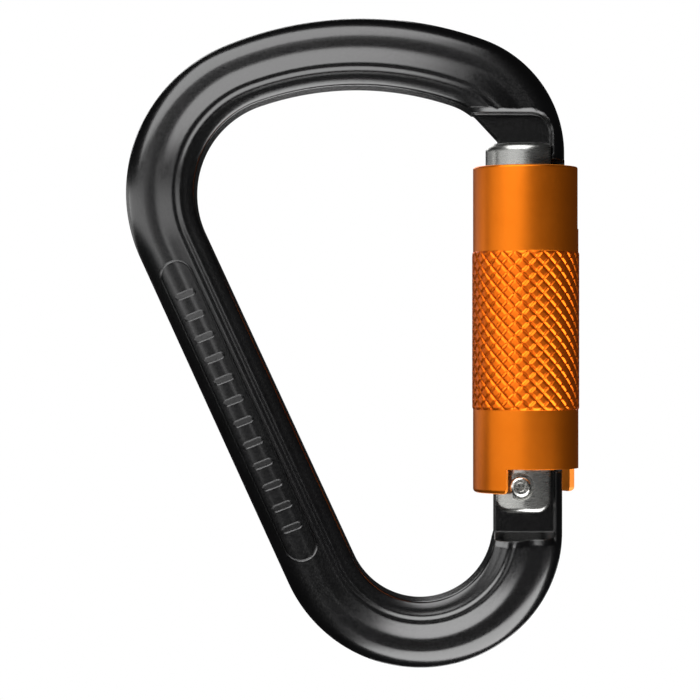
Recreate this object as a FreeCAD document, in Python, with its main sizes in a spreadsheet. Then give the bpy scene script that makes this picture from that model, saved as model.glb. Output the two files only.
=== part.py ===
import FreeCAD, Part
import math
import os
import Sketcher

# A pear-shaped locking carabiner, upright, in millimetres: +X towards the gate, +Y to the back,
# +Z towards the wide bow. The origin is the middle of the whole object.

SIZES = {
    # Frame: a flat forged C of rounded bar. Each round stretch of its outline is an arc with this centre.
    "frame_half": 5.6,
    "outer_top_x": 1.5,
    "outer_top_z": -6.0,
    "outer_top_radius": 63.0,
    "outer_left_x": -11.9,
    "outer_left_z": 26.45,
    "outer_right_x": 15.8,
    "outer_right_z": 33.2,
    "outer_low_x": 11.9,
    "outer_low_z": -31.5,
    "outer_low_radius": 25.5,
    "outer_heel_x": 13.44,
    "outer_heel_z": -33.11,
    "inner_top_x": 0.7,
    "inner_top_z": -7.6,
    "inner_top_radius": 52.5,
    "inner_left_x": -11.1,
    "inner_left_z": 26.4,
    "inner_neck_x": 14.0,
    "inner_neck_z": 31.7,
    "inner_low_x": 11.95,
    "inner_low_z": -32.15,
    "inner_low_radius": 12.85,
    "outer_round": 3.4,
    "inner_round": 3.0,
    # Web: the thin middle left where both ends of the frame are milled to fit inside the gate.
    "web_half": 2.0,
    "neck_step_z": 40.2,
    "neck_corner": 3.5,
    "neck_wall_x": 34.6,
    "neck_wall_z": 32.0,
    "heel_step_z": -33.1,
    "heel_run_out": 2.2,
    "heel_wall_x": 35.35,
    "heel_wall_z": -22.4,
    "mill_left": 15.0,
    "mill_right": 42.0,
    "mill_top": -12.0,
    "mill_bottom": 22.0,
    # Nose: the tongue that hooks over the latch pin.
    "nose_left": 25.5,
    "nose_top": 35.5,
    "nose_bottom": 24.6,
    "nose_corner": 0.9,
    "notch_radius": 1.55,
    # Tang: its round top is the cam that lifts the plunger.
    "cam_x": 26.5,
    "cam_z": -25.0,
    "cam_radius": 5.5,
    "tang_flat_z": -20.1,
    "tang_corner": 2.5,
    # Pins.
    "pivot_x": 29.0,
    "pivot_z": -24.9,
    "rivet_radius": 1.5,
    "rivet_bore": 1.55,
    "rivet_head": 1.82,
    "rivet_eye": 0.75,
    "rivet_eye_depth": 0.7,
    "rivet_front": 8.55,
    "rivet_back": 7.5,
    "rivet_round": 0.6,
    "rivet_back_round": 0.4,
    "spot_face": 6.5,
    "spot_radius": 2.3,
    "latch_x": 29.3,
    "latch_z": 28.5,
    "latch_radius": 1.25,
    "latch_half": 6.6,
    "latch_chamfer": 0.25,
    # Gate: a round bar with one flat side, forked at both ends.
    "axis_x": 30.4,
    "gate_radius": 7.05,
    "gate_top": 34.9,
    "gate_bottom": -29.5,
    "gate_flat_x": 34.4,
    "gate_top_round": 1.3,
    "cheek_x": 24.95,
    "cheek_z": -22.2,
    "cheek_corner": 2.4,
    "cheek_round": 0.8,
    "fork_half": 2.15,
    "top_fork_x": 25.2,
    "top_fork_z": 23.4,
    "low_fork_z": -17.4,
    "bore_radius": 2.25,
    "bore_bottom": -20.0,
    "bore_top": 16.0,
    "groove_radius": 6.5,
    # Plunger and its coil spring, in the bore over the pivot.
    "plunger_radius": 2.2,
    "plunger_ball_z": -17.62,
    "plunger_top": -9.0,
    "gate_spring_wire": 0.3,
    "gate_spring_radius": 1.75,
    "gate_spring_turns": 12,
    "gate_spring_bottom": -8.6,
    "gate_spring_top": 15.6,
    # Sleeve, its bushes, its two rings and its torsion spring.
    "sleeve_radius": 9.25,
    "band_radius": 9.4,
    "band_bottom": -11.65,
    "band_top": 16.0,
    "sleeve_bore": 8.35,
    "sleeve_top": 30.9,
    "sleeve_bottom": -26.2,
    "sleeve_edge": 0.4,
    "lug_corner": 0.9,
    "window_z": -21.9,
    "window_start": -115.0,
    "window_end": 18.0,
    "slot_half": 2.35,
    "slot_z": 20.0,
    "bush_bore": 7.1,
    "upper_bush_bottom": 20.4,
    "upper_bush_top": 30.3,
    "lower_bush_bottom": -20.4,
    "lower_bush_top": -15.9,
    "ring_bore": 6.6,
    "ring_radius": 8.1,
    "ring_gap_half": 3.0,
    "upper_ring_bottom": -15.7,
    "upper_ring_top": -14.9,
    "lower_ring_bottom": -21.4,
    "lower_ring_top": -20.6,
    "leg_hole": 0.45,
    "leg_hole_depth": 3.0,
    "twist_spring_wire": 0.4,
    "twist_spring_leg": 0.36,
    "twist_spring_radius": 7.7,
    "twist_spring_turns": 11,
    "twist_spring_bottom": -14.2,
    "twist_spring_top": 18.8,
    "upper_leg": 4.0,
    "lower_leg": 2.2,
    # Reach of the cuts that run out into the air.
    "cut_out": 12.0,
    "cut_low": -40.0,
    "cut_high": 45.0,
}

doc = FreeCAD.newDocument("carabiner")
sheet = doc.addObject("Spreadsheet::Sheet", "sizes")
for row, (alias, number) in enumerate(SIZES.items(), start=1):
    sheet.set("A%d" % row, alias)
    sheet.set("B%d" % row, str(number))
    sheet.setAlias("B%d" % row, alias)
doc.recompute()

ROOT = -1  # a sketch's own axes: its origin is point 1, its horizontal and vertical lines follow
START = 1
END = 2
CENTRE = 3


def size(alias):
    """The number in a named cell. A pair of cells means the first less the second."""
    if isinstance(alias, tuple):
        return size(alias[0]) - size(alias[1])
    return getattr(sheet, alias) if isinstance(alias, str) else alias


def formula(alias):
    """The same as an expression that FreeCAD keeps."""
    if isinstance(alias, tuple):
        return formula(alias[0]) + " - " + formula(alias[1])
    return "sizes." + alias if isinstance(alias, str) else str(alias)


def point(x, z):
    return FreeCAD.Vector(x, z, 0)


# ---------------------------------------------------------------- sketches

def new_body(label):
    body = doc.addObject("PartDesign::Body", label)
    body.Label = label
    return body


def new_sketch(body, name, role, offset=None):
    """A sketch on one of the body's own planes, moved along the plane's normal to a named size."""
    sketch = body.newObject("Sketcher::SketchObject", name)
    plane = next(item for item in body.Origin.OriginFeatures if item.Role == role)
    sketch.AttachmentSupport = [(plane, "")]
    sketch.MapMode = "FlatFace"
    if offset:
        sketch.setExpression("AttachmentOffset.Base.z", offset)
    return sketch


def bind(sketch, kind, places, alias):
    """One dimension of the sketch, tied to a cell."""
    index = sketch.addConstraint(Sketcher.Constraint(kind, *places, size(alias)))
    if isinstance(alias, (str, tuple)):
        sketch.setExpression("Constraints[%d]" % index, formula(alias))


def hold(sketch, geometry, spot, x, z):
    bind(sketch, "DistanceX", (ROOT, START, geometry, spot), x)
    bind(sketch, "DistanceY", (ROOT, START, geometry, spot), z)


def polygon(sketch, corners):
    """A closed outline of straight lines; each corner is a pair of cells."""
    spots = [point(size(x), size(z)) for x, z in corners]
    count = len(spots)
    lines = [
        sketch.addGeometry(Part.LineSegment(spots[index], spots[(index + 1) % count]))
        for index in range(count)
    ]
    for index, line in enumerate(lines):
        follower = lines[(index + 1) % count]
        sketch.addConstraint(Sketcher.Constraint("Coincident", line, END, follower, START))
        hold(sketch, line, START, *corners[index])


def rectangle(sketch, left, bottom, right, top):
    polygon(sketch, [(left, bottom), (right, bottom), (right, top), (left, top)])


def circle(sketch, x, z, radius):
    disc = Part.Circle(point(size(x), size(z)), FreeCAD.Vector(0, 0, 1), size(radius))
    geometry = sketch.addGeometry(disc)
    hold(sketch, geometry, CENTRE, x, z)
    bind(sketch, "Radius", (geometry,), radius)


# ---------------------------------------------------------------- features

def pad(body, sketch, name, length, both_ways=False):
    feature = body.newObject("PartDesign::Pad", name)
    feature.Profile = sketch
    feature.setExpression("Length", length)
    feature.Midplane = both_ways
    doc.recompute()
    return feature


def pocket(body, sketch, name, length, both_ways=False, turned=False):
    """Cuts the sketch out of the body, and stops if nothing was cut."""
    before = body.Shape.Volume
    feature = body.newObject("PartDesign::Pocket", name)
    feature.Profile = sketch
    feature.setExpression("Length", length)
    feature.Midplane = both_ways
    feature.Reversed = turned
    doc.recompute()
    if feature.Shape.Volume > before - 0.01:
        raise RuntimeError(name + " cuts nothing")
    return feature


def revolve(body, sketch, name, kind="Revolution"):
    """Turns the sketch about its own upright axis: a Revolution adds metal and a Groove takes it away."""
    feature = body.newObject("PartDesign::" + kind, name)
    feature.Profile = sketch
    feature.ReferenceAxis = (sketch, ["V_Axis"])
    feature.Angle = 360
    doc.recompute()
    return feature


def turned_body(label, name, corners):
    """A body made by turning one outline of straight lines, on the gate's axis."""
    body = on_axis(new_body(label))
    sketch = new_sketch(body, name + "_outline", "XZ_Plane")
    polygon(sketch, corners)
    return body, revolve(body, sketch, name + "_turned")


def on_axis(body):
    body.setExpression("Placement.Base.x", "sizes.axis_x")
    return body


def coil(body, name, x, bottom, top, turns, wire):
    sketch = new_sketch(body, name + "_wire", "XZ_Plane")
    circle(sketch, x, bottom, wire)
    feature = body.newObject("PartDesign::AdditiveHelix", name)
    feature.Profile = sketch
    feature.ReferenceAxis = (sketch, ["V_Axis"])
    feature.Mode = "height-turns-angle"
    feature.setExpression("Height", formula((top, bottom)))
    feature.setExpression("Turns", formula(turns))
    doc.recompute()
    return feature


def dress(body, kind, name, base, edges, radius):
    """A fillet or chamfer of the named edges, with its size tied to a cell."""
    feature = body.newObject("PartDesign::" + kind, name)
    feature.Base = (base, edges)
    feature.setExpression("Radius" if kind == "Fillet" else "Size", "sizes." + radius)
    doc.recompute()
    return feature


def mirror(body, name, original, role):
    plane = next(item for item in body.Origin.OriginFeatures if item.Role == role)
    feature = body.newObject("PartDesign::Mirrored", name)
    feature.Originals = original
    feature.MirrorPlane = (plane, [""])
    body.Tip = feature
    doc.recompute()
    return feature


def edges_where(feature, test):
    return ["Edge%d" % number for number, edge in enumerate(feature.Shape.Edges, start=1) if test(edge)]


def middle(edge):
    return edge.valueAt((edge.FirstParameter + edge.LastParameter) / 2)


# ---------------------------------------------------------------- frame outline

class Outline:
    """A closed chain of lines and arcs, drawn in order with the metal on its left."""

    def __init__(self, sketch):
        self.sketch = sketch
        self.links = []
        self.middles = []

    def line(self, start, end):
        geometry = self.sketch.addGeometry(Part.LineSegment(point(*start), point(*end)))
        self.links.append((geometry, START, END))
        self.middles.append(((start[0] + end[0]) / 2, (start[1] + end[1]) / 2))
        return geometry

    def arc(self, centre, radius, first, last):
        """Runs from one angle to the other, anticlockwise if last is the larger."""
        low, high = sorted((first, last))
        disc = Part.Circle(point(*centre), FreeCAD.Vector(0, 0, 1), radius)
        geometry = self.sketch.addGeometry(Part.ArcOfCircle(disc, low, high))
        forward = last > first
        self.links.append((geometry, START if forward else END, END if forward else START))
        self.middles.append(polar(centre, radius, (first + last) / 2))
        return geometry

    def join(self, smooth):
        """Ties each end to the next start; the joints listed in smooth are tangent."""
        for index, (geometry, _, end) in enumerate(self.links):
            follower, start, _ = self.links[(index + 1) % len(self.links)]
            kind = "Tangent" if index in smooth else "Coincident"
            self.sketch.addConstraint(Sketcher.Constraint(kind, geometry, end, follower, start))


def polar(centre, radius, angle):
    return (centre[0] + radius * math.cos(angle), centre[1] + radius * math.sin(angle))


def spot(name):
    return (size(name + "_x"), size(name + "_z"))


def distance(first, second):
    return math.hypot(second[0] - first[0], second[1] - first[1])


def heading(first, second):
    return math.atan2(second[1] - first[1], second[0] - first[0])


def side_angle(upper, upper_radius, lower, lower_radius):
    """The direction from both centres to the line that touches both circles on their left."""
    lean = math.asin((upper_radius - lower_radius) / distance(upper, lower))
    return heading(upper, lower) - math.pi / 2 + lean + 2 * math.pi


def draw_frame(sketch):
    outline = Outline(sketch)
    top = spot("outer_top")
    top_radius = size("outer_top_radius")
    left = spot("outer_left")
    left_radius = top_radius - distance(top, left)
    right = spot("outer_right")
    right_radius = top_radius - distance(top, right)
    low = spot("outer_low")
    low_radius = size("outer_low_radius")
    heel = spot("outer_heel")
    heel_radius = low_radius - distance(low, heel)
    spine = side_angle(left, left_radius, low, low_radius)
    edge_x = right[0] + right_radius
    heel_x = heel[0] + heel_radius

    # Outer side, from the foot of the nose over the wide bow and down the spine to the tang.
    corner = size("nose_corner")
    nose_bottom = size("nose_bottom")
    outer = [
        outline.line((edge_x, nose_bottom + corner), (edge_x, right[1])),
        outline.arc(right, right_radius, 0, heading(top, right)),
        outline.arc(top, top_radius, heading(top, right), heading(top, left)),
        outline.arc(left, left_radius, heading(top, left), spine),
        outline.line(polar(left, left_radius, spine), polar(low, low_radius, spine)),
        outline.arc(low, low_radius, spine, heading(low, heel) + 2 * math.pi),
        outline.arc(heel, heel_radius, heading(low, heel), 0),
    ]
    tang_corner = size("tang_corner")
    flat_z = size("tang_flat_z")
    outer.append(outline.line((heel_x, heel[1]), (heel_x, flat_z - tang_corner)))
    outer_middles = list(outline.middles)

    # Round the top of the tang, over the cam.
    corner_centre = (heel_x - tang_corner, flat_z - tang_corner)
    tang_arc = outline.arc(corner_centre, tang_corner, 0, math.pi / 2)
    cam = spot("cam")
    cam_radius = size("cam_radius")
    low_inner = spot("inner_low")
    low_inner_radius = size("inner_low_radius")
    tang_x = low_inner[0] + low_inner_radius
    cam_first = math.asin((flat_z - cam[1]) / cam_radius)
    cam_last = math.acos((tang_x - cam[0]) / cam_radius)
    tang_flat = outline.line((corner_centre[0], flat_z), polar(cam, cam_radius, cam_first))
    cam_arc = outline.arc(cam, cam_radius, cam_first, cam_last)
    inner_start = len(outline.middles)

    # Inner side, from the tang back round the eye to the neck.
    top_inner = spot("inner_top")
    top_inner_radius = size("inner_top_radius")
    left_inner = spot("inner_left")
    left_inner_radius = top_inner_radius - distance(top_inner, left_inner)
    neck = spot("inner_neck")
    neck_radius = top_inner_radius - distance(top_inner, neck)
    spine_inner = side_angle(left_inner, left_inner_radius, low_inner, low_inner_radius)
    nose_start = (size("nose_left"), size("nose_top"))
    neck_angle = heading(neck, nose_start) + math.acos(neck_radius / distance(neck, nose_start))
    inner = [
        outline.line(polar(cam, cam_radius, cam_last), (tang_x, low_inner[1])),
        outline.arc(low_inner, low_inner_radius, 2 * math.pi, spine_inner),
        outline.line(
            polar(low_inner, low_inner_radius, spine_inner), polar(left_inner, left_inner_radius, spine_inner)
        ),
        outline.arc(left_inner, left_inner_radius, spine_inner, heading(top_inner, left_inner)),
        outline.arc(top_inner, top_inner_radius, heading(top_inner, left_inner), heading(top_inner, neck)),
        outline.arc(neck, neck_radius, heading(top_inner, neck), neck_angle),
        outline.line(polar(neck, neck_radius, neck_angle), nose_start),
    ]
    inner_middles = outline.middles[inner_start:]

    # Tongue, with the notch that takes the latch pin.
    latch = spot("latch")
    notch = size("notch_radius")
    nose_x = nose_start[0]
    foot = [
        outline.line(nose_start, (nose_x, latch[1] + notch)),
        outline.line((nose_x, latch[1] + notch), (latch[0], latch[1] + notch)),
        outline.arc(latch, notch, math.pi / 2, -math.pi / 2),
        outline.line((latch[0], latch[1] - notch), (nose_x, latch[1] - notch)),
        outline.line((nose_x, latch[1] - notch), (nose_x, nose_bottom + corner)),
        outline.line((nose_x, nose_bottom + corner), (nose_x + corner, nose_bottom)),
        outline.line((nose_x + corner, nose_bottom), (edge_x - corner, nose_bottom)),
        outline.line((edge_x - corner, nose_bottom), (edge_x, nose_bottom + corner)),
    ]

    first_inner = len(outer) + 3
    smooth = set(range(9)) | set(range(first_inner, first_inner + 6))
    smooth |= {first_inner + 8, first_inner + 9}
    outline.join(smooth)
    for name, arc in (
        ("outer_right", outer[1]), ("outer_top", outer[2]), ("outer_left", outer[3]),
        ("outer_low", outer[5]), ("outer_heel", outer[6]), ("cam", cam_arc), ("inner_low", inner[1]),
        ("inner_left", inner[3]), ("inner_top", inner[4]), ("inner_neck", inner[5]), ("latch", foot[2]),
    ):
        hold(sketch, arc, CENTRE, name + "_x", name + "_z")
    for alias, arc in (
        ("outer_top_radius", outer[2]), ("outer_low_radius", outer[5]), ("cam_radius", cam_arc),
        ("inner_low_radius", inner[1]), ("inner_top_radius", inner[4]), ("notch_radius", foot[2]),
        ("tang_corner", tang_arc),
    ):
        bind(sketch, "Radius", (arc,), alias)
    for upright in (outer[0], outer[7], inner[0], foot[0], foot[4]):
        sketch.addConstraint(Sketcher.Constraint("Vertical", upright))
    for level in (tang_flat, foot[1], foot[3], foot[6]):
        sketch.addConstraint(Sketcher.Constraint("Horizontal", level))
    hold(sketch, foot[0], START, "nose_left", "nose_top")
    bind(sketch, "DistanceY", (ROOT, START, foot[6], START), "nose_bottom")
    bind(sketch, "DistanceY", (ROOT, START, tang_flat, START), "tang_flat_z")
    return outer_middles, inner_middles


def make_frame():
    body = new_body("frame")
    sketch = new_sketch(body, "frame_outline", "XZ_Plane")
    outer_middles, inner_middles = draw_frame(sketch)
    blank = pad(body, sketch, "frame_blank", "2 * sizes.frame_half", both_ways=True)

    def along(middles):
        def test(edge):
            spot_on_edge = middle(edge)
            if abs(abs(spot_on_edge.y) - size("frame_half")) > 0.01:
                return False
            return any(math.hypot(spot_on_edge.x - x, spot_on_edge.z - z) < 0.5 for x, z in middles)
        return test

    outer = dress(body, "Fillet", "frame_outer_round", blank, edges_where(blank, along(outer_middles)),
                  "outer_round")
    inner = dress(body, "Fillet", "frame_inner_round", outer, edges_where(outer, along(inner_middles)),
                  "inner_round")

    # The neck and the nose, milled down to the web from both faces up to a wall on the outside.
    neck = new_sketch(body, "neck_outline", "XZ_Plane", "sizes.web_half")
    polygon(neck, [
        ("mill_left", "mill_bottom"), ("mill_right", "mill_bottom"), ("mill_right", "neck_wall_z"),
        ("neck_wall_x", "neck_wall_z"), ("neck_wall_x", "neck_step_z"), ("mill_left", "neck_step_z"),
    ])
    neck.fillet(3, 4, point(size("neck_wall_x"), size("neck_step_z") - 1),
                point(size("neck_wall_x") - 1, size("neck_step_z")), size("neck_corner"), True, True)
    neck_cut = pocket(body, neck, "neck_mill", "sizes.frame_half", turned=True)
    mirror(body, "neck_mill_back", [neck_cut], "XZ_Plane")
    heel = new_sketch(body, "heel_outline", "XZ_Plane", "sizes.web_half")
    polygon(heel, [
        ("mill_left", "heel_step_z"), ("heel_wall_x", "heel_step_z"), ("heel_wall_x", "heel_wall_z"),
        ("mill_right", "heel_wall_z"), ("mill_right", "mill_top"), ("mill_left", "mill_top"),
    ])
    heel_cut = pocket(body, heel, "heel_mill", "sizes.frame_half", turned=True)
    mirror(body, "heel_mill_back", [heel_cut], "XZ_Plane")

    # The cutter's sloping run-out below the tang.
    slope = new_sketch(body, "run_out_outline", "YZ_Plane", "sizes.heel_wall_x")
    step = size("heel_step_z")
    half = size("frame_half")
    web = size("web_half")
    low = step - size("heel_run_out")
    lines = [
        slope.addGeometry(Part.LineSegment(point(web, step), point(half + 1, step))),
        slope.addGeometry(Part.LineSegment(point(half + 1, step), point(half + 1, low))),
        slope.addGeometry(Part.LineSegment(point(half + 1, low), point(web, step))),
    ]
    for index, line in enumerate(lines):
        slope.addConstraint(Sketcher.Constraint("Coincident", line, END, lines[(index + 1) % 3], START))
    slope.addConstraint(Sketcher.Constraint("Horizontal", lines[0]))
    slope.addConstraint(Sketcher.Constraint("Vertical", lines[1]))
    hold(slope, lines[0], START, "web_half", "heel_step_z")
    bind(slope, "DistanceY", (lines[1], END, lines[1], START), "heel_run_out")
    slope_cut = pocket(body, slope, "run_out", "sizes.heel_wall_x - sizes.mill_left")
    mirror(body, "run_out_back", [slope_cut], "XZ_Plane")

    hole = new_sketch(body, "pivot_outline", "XZ_Plane")
    circle(hole, "pivot_x", "pivot_z", "rivet_bore")
    pocket(body, hole, "pivot_hole", "2 * sizes.frame_half", both_ways=True)
    return body


# ---------------------------------------------------------------- gate and its pins

LOCAL_PIVOT = ("pivot_x", "axis_x")
LOCAL_LATCH = ("latch_x", "axis_x")
INWARD = (0, "cut_out")


def is_edge_along(edge, axis, level):
    """A straight edge along Y, or any edge at one height, whichever is asked for."""
    ends = [vertex.Point for vertex in edge.Vertexes]
    if any(abs(end.z - level) > 0.01 for end in ends) or abs(middle(edge).z - level) > 0.01:
        return False
    straight = len(ends) == 2 and abs(ends[0].x - ends[1].x) < 0.01
    return straight if axis == "Y" else True


def make_gate():
    bottom = size("gate_bottom")
    body, blank = turned_body("gate_barrel", "gate", [
        (0, "gate_bottom"), ("gate_radius", "gate_bottom"), ("gate_radius", "gate_top"), (0, "gate_top"),
    ])
    rim = edges_where(blank, lambda edge: is_edge_along(edge, "any", size("gate_top")) and edge.Closed)
    dress(body, "Fillet", "gate_top_rounding", blank, rim, "gate_top_round")

    flat = new_sketch(body, "flat_outline", "XZ_Plane")
    rectangle(flat, ("gate_flat_x", "axis_x"), "cut_low", "cut_out", "cut_high")
    pocket(body, flat, "flat_side", "3 * sizes.gate_radius", both_ways=True)
    cheek = new_sketch(body, "cheek_outline", "XZ_Plane")
    rectangle(cheek, INWARD, "cut_low", ("cheek_x", "axis_x"), "cheek_z")
    cheeks = pocket(body, cheek, "cheek_side", "3 * sizes.gate_radius", both_ways=True)
    corners = edges_where(cheeks, lambda edge: is_edge_along(edge, "Y", bottom))
    cornered = dress(body, "Fillet", "cheek_corners", cheeks, corners, "cheek_corner")
    rims = edges_where(cornered, lambda edge: is_edge_along(edge, "any", bottom)
                       and not is_edge_along(edge, "Y", bottom))
    dress(body, "Fillet", "cheek_rounding", cornered, rims, "cheek_round")

    top_fork = new_sketch(body, "top_fork_outline", "XZ_Plane")
    rectangle(top_fork, ("top_fork_x", "axis_x"), "top_fork_z", "cut_out", "cut_high")
    pocket(body, top_fork, "top_fork", "2 * sizes.fork_half", both_ways=True)
    low_fork = new_sketch(body, "low_fork_outline", "XZ_Plane")
    rectangle(low_fork, INWARD, "cut_low", "cut_out", "low_fork_z")
    pocket(body, low_fork, "low_fork", "2 * sizes.fork_half", both_ways=True)

    for name, x, z, radius in (
        ("rivet_hole", LOCAL_PIVOT, "pivot_z", "rivet_radius"),
        ("latch_hole", LOCAL_LATCH, "latch_z", "latch_radius"),
    ):
        hole = new_sketch(body, name + "_outline", "XZ_Plane")
        circle(hole, x, z, radius)
        pocket(body, hole, name, "3 * sizes.gate_radius", both_ways=True)
    spot_face = new_sketch(body, "spot_outline", "XZ_Plane", "sizes.spot_face")
    circle(spot_face, LOCAL_PIVOT, "pivot_z", "spot_radius")
    front = pocket(body, spot_face, "spot_front", "sizes.gate_radius", turned=True)
    mirror(body, "spot_back", [front], "XZ_Plane")

    bore = new_sketch(body, "bore_outline", "XY_Plane", "sizes.bore_bottom")
    circle(bore, LOCAL_PIVOT, 0, "bore_radius")
    pocket(body, bore, "plunger_bore", formula(("bore_top", "bore_bottom")), turned=True)
    leg = new_sketch(body, "leg_outline", "YZ_Plane", "-sizes.twist_spring_radius")
    circle(leg, 0, "twist_spring_bottom", "leg_hole")
    pocket(body, leg, "leg_hole_side", "sizes.lower_leg + 0.1", turned=True)
    for name in ("upper_ring", "lower_ring"):
        groove = new_sketch(body, name + "_groove_outline", "XZ_Plane")
        rectangle(groove, "groove_radius", name + "_bottom", "cut_out", name + "_top")
        revolve(body, groove, name + "_groove", "Groove")
    return body


def across(body, x, z):
    """Lays a body that was turned upright along Y instead, its top to the front, at a place on the gate."""
    body.Placement.Rotation = FreeCAD.Rotation(FreeCAD.Vector(1, 0, 0), 90)
    body.setExpression("Placement.Base.x", "sizes." + x)
    body.setExpression("Placement.Base.z", "sizes." + z)


def make_rivet():
    body, blank = turned_body("hinge_rivet", "rivet", [
        (0, ("rivet_front", "rivet_eye_depth")), ("rivet_eye", ("rivet_front", "rivet_eye_depth")),
        ("rivet_eye", "rivet_front"), ("rivet_head", "rivet_front"), ("rivet_head", "spot_face"),
        ("rivet_radius", "spot_face"), ("rivet_radius", (0, "spot_face")), ("rivet_head", (0, "spot_face")),
        ("rivet_head", (0, "rivet_back")), (0, (0, "rivet_back")),
    ])

    def at(feature, radius, level):
        return edges_where(feature, lambda edge: edge.Closed and abs(edge.Vertexes[0].Z - level) < 0.01
                           and abs(edge.Curve.Radius - radius) < 0.01)

    front = dress(body, "Fillet", "front_head_round", blank,
                  at(blank, size("rivet_head"), size("rivet_front")), "rivet_round")
    dress(body, "Fillet", "back_head_round", front,
          at(front, size("rivet_head"), -size("rivet_back")), "rivet_back_round")
    across(body, "pivot_x", "pivot_z")
    return body


def make_latch_pin():
    body, blank = turned_body("latch_pin", "latch", [
        (0, (0, "latch_half")), ("latch_radius", (0, "latch_half")), ("latch_radius", "latch_half"),
        (0, "latch_half"),
    ])
    ends = edges_where(blank, lambda edge: edge.Closed)
    dress(body, "Chamfer", "latch_ends", blank, ends, "latch_chamfer")
    across(body, "latch_x", "latch_z")
    return body


def make_plunger():
    """A pin with a ball end that rides on the cam of the tang."""
    stem = doc.addObject("Part::Cylinder", "plunger_stem")
    stem.setExpression("Radius", "sizes.plunger_radius")
    stem.setExpression("Height", "sizes.plunger_top - sizes.plunger_ball_z")
    stem.setExpression("Placement.Base.z", "sizes.plunger_ball_z")
    ball = doc.addObject("Part::Sphere", "plunger_ball")
    ball.setExpression("Radius", "sizes.plunger_radius")
    ball.setExpression("Placement.Base.z", "sizes.plunger_ball_z")
    plunger = doc.addObject("Part::Fuse", "gate_plunger")
    plunger.Label = "gate_plunger"
    plunger.Base = stem
    plunger.Tool = ball
    plunger.Refine = True
    plunger.setExpression("Placement.Base.x", "sizes.pivot_x")
    return plunger


def make_gate_spring():
    body = new_body("gate_spring")
    coil(body, "gate_coil", "gate_spring_radius", "gate_spring_bottom", "gate_spring_top",
         "gate_spring_turns", "gate_spring_wire")
    body.setExpression("Placement.Base.x", "sizes.pivot_x")
    return body


# ---------------------------------------------------------------- sleeve and what is inside it

def cut_slot(body, name):
    """The way out for the nose: an upright slot in the +X side, open at the top."""
    slot = new_sketch(body, name + "_outline", "YZ_Plane")
    rectangle(slot, (0, "slot_half"), "slot_z", "slot_half", "cut_high")
    pocket(body, slot, name, "sizes.cut_out", turned=True)


def make_sleeve():
    body, blank = turned_body("locking_sleeve", "sleeve", [
        ("sleeve_bore", "sleeve_bottom"), ("sleeve_radius", "sleeve_bottom"),
        ("sleeve_radius", "band_bottom"), ("band_radius", "band_bottom"), ("band_radius", "band_top"),
        ("sleeve_radius", "band_top"), ("sleeve_radius", "sleeve_top"), ("sleeve_bore", "sleeve_top"),
    ])
    ends = edges_where(blank, lambda edge: edge.Closed and edge.Curve.Radius > size("sleeve_bore") + 0.1
                       and abs(edge.Vertexes[0].Z) > size("band_top") + 1)
    dress(body, "Chamfer", "sleeve_ends", blank, ends, "sleeve_edge")

    window = new_sketch(body, "window_outline", "XY_Plane", "sizes.sleeve_bottom")
    start = math.radians(size("window_start"))
    end = math.radians(size("window_end"))
    reach = size("cut_out")
    disc = Part.Circle(point(0, 0), FreeCAD.Vector(0, 0, 1), reach)
    first = window.addGeometry(Part.LineSegment(point(0, 0), point(*polar((0, 0), reach, start))))
    arc = window.addGeometry(Part.ArcOfCircle(disc, start, end))
    last = window.addGeometry(Part.LineSegment(point(*polar((0, 0), reach, end)), point(0, 0)))
    for one, other in ((first, arc), (arc, last), (last, first)):
        window.addConstraint(Sketcher.Constraint("Coincident", one, END, other, START))
    hold(window, arc, CENTRE, 0, 0)
    hold(window, first, START, 0, 0)
    bind(window, "Radius", (arc,), "cut_out")
    for line, alias, angle in ((first, "window_start", start), (last, "window_end", end + math.pi)):
        index = window.addConstraint(Sketcher.Constraint("Angle", line, angle))
        turn = " + 180" if line == last else ""
        window.setExpression("Constraints[%d]" % index, "(sizes.%s%s) * 1 deg" % (alias, turn))
    cut = pocket(body, window, "window", formula(("window_z", "sleeve_bottom")), turned=True)

    def at_lug_corner(edge):
        ends_of_edge = [vertex.Point for vertex in edge.Vertexes]
        return (len(ends_of_edge) == 2
                and all(abs(end_point.z - size("sleeve_bottom")) < 0.01 for end_point in ends_of_edge)
                and edge.Length < 1.0 and edge.Curve.TypeId == "Part::GeomLine")

    dress(body, "Fillet", "lug_corners", cut, edges_where(cut, at_lug_corner), "lug_corner")
    cut_slot(body, "nose_slot")
    return body


def make_bush(label):
    body, _ = turned_body(label, label, [
        ("bush_bore", label + "_bottom"), ("sleeve_bore", label + "_bottom"),
        ("sleeve_bore", label + "_top"), ("bush_bore", label + "_top"),
    ])
    return body


def make_upper_bush():
    body = make_bush("upper_bush")
    cut_slot(body, "bush_slot")
    leg = new_sketch(body, "bush_leg_outline", "XY_Plane", "sizes.upper_bush_bottom")
    circle(leg, (0, "twist_spring_radius"), 0, "leg_hole")
    pocket(body, leg, "bush_leg_hole", "sizes.leg_hole_depth", turned=True)
    return body


def make_ring(label):
    """An open wire ring that snaps into its groove in the gate."""
    body, _ = turned_body(label, label, [
        ("ring_bore", label + "_bottom"), ("ring_radius", label + "_bottom"),
        ("ring_radius", label + "_top"), ("ring_bore", label + "_top"),
    ])
    gap = new_sketch(body, label + "_gap_outline", "XY_Plane", "sizes.cut_low")
    rectangle(gap, 0, (0, "ring_gap_half"), "cut_out", "ring_gap_half")
    pocket(body, gap, label + "_gap", "2 * sizes.cut_high", turned=True)
    return body


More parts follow.
